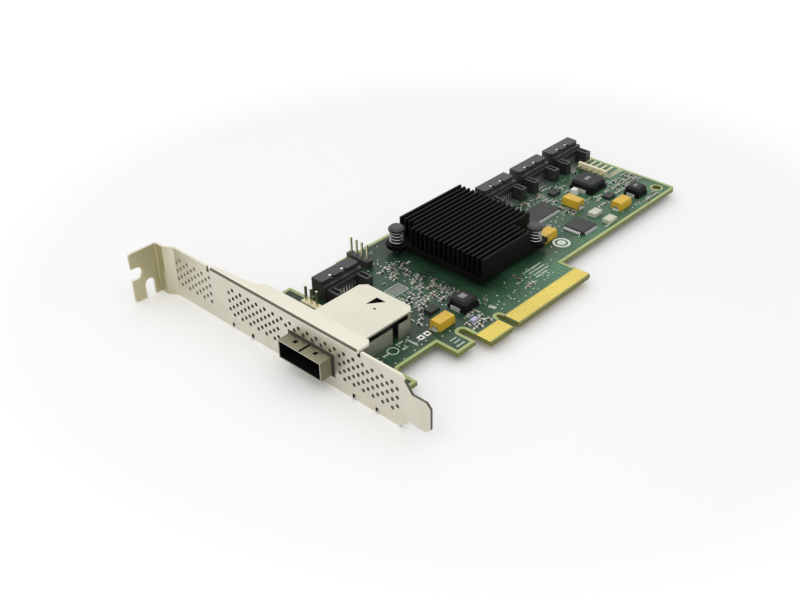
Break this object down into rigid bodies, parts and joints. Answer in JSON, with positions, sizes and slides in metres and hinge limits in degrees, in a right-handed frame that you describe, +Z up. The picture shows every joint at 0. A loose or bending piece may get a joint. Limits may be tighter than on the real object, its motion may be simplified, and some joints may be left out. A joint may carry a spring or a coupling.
{
  "type": "storage controller card",
  "caption": "Computer expansion card with a vented bracket, an external cable port, a finned cooler on sprung pins, data sockets along the upper edge and a gold edge connector.",
  "frame": {"origin": "under the middle of the card, level with the lower edge of the bracket", "axes": "+X along the board away from the bracket, +Y from the edge connector towards the bracket foot, +Z up on the component side"},
  "size_m": [0.181, 0.12, 0.0184],
  "materials": {
    "green_board": "solder mask over glass laminate",
    "plated_steel": "bright nickel plate",
    "black_plastic": "moulded, fine matte",
    "gold_plate": "gold flash",
    "gasket_cloth": "dark conductive cloth over foam",
    "screw_steel": "zinc plate",
    "black_anodised": "black anodised aluminium",
    "chip_resin": "moulded epoxy",
    "pad_rubber": "soft thermal pad",
    "spring_steel": "spring wire",
    "tinned_leads": "tinned copper",
    "cream_plastic": "moulded",
    "pale_ceramic": "glazed ceramic",
    "white_plastic": "moulded",
    "yellow_resin": "moulded epoxy",
    "grey_ferrite": "pressed ferrite"
  },
  "bodies": {
    "root": {"bracket": "plated_steel", "bracket_screws": "screw_steel", "capacitor_1": "yellow_resin", "capacitor_2": "yellow_resin", "capacitor_3": "yellow_resin", "capacitor_4": "yellow_resin", "capacitor_terminals": "tinned_leads", "ceramic_part_1": "pale_ceramic", "ceramic_part_2": "pale_ceramic", "circuit_board": "green_board", "controller_chip": "chip_resin", "data_socket_1": "black_plastic", "data_socket_2": "black_plastic", "data_socket_3": "black_plastic", "data_socket_4": "black_plastic", "emi_gasket": "gasket_cloth", "heat_sink": "black_anodised", "inductor_1": "grey_ferrite", "inductor_2": "grey_ferrite", "inductor_3": "grey_ferrite", "jumper_header_base": "cream_plastic", "jumper_header_pins": "gold_plate", "logic_chip": "chip_resin", "logic_leads": "tinned_leads", "memory_chip": "chip_resin", "memory_leads": "tinned_leads", "pin_header_base": "black_plastic", "pin_header_pins": "gold_plate", "pin_spring_lower": "spring_steel", "pin_spring_upper": "spring_steel", "port_cage": "plated_steel", "port_contacts": "gold_plate", "port_insert": "black_plastic", "power_chip_1": "chip_resin", "power_chip_2": "chip_resin", "power_chip_3": "chip_resin", "push_pin_lower": "black_plastic", "push_pin_upper": "black_plastic", "side_header_base": "cream_plastic", "side_header_pins": "gold_plate", "socket_contacts_1": "tinned_leads", "socket_contacts_2": "tinned_leads", "socket_contacts_3": "tinned_leads", "socket_contacts_4": "tinned_leads", "thermal_pad": "pad_rubber", "white_clip": "white_plastic"}
  },
  "joints": []
}
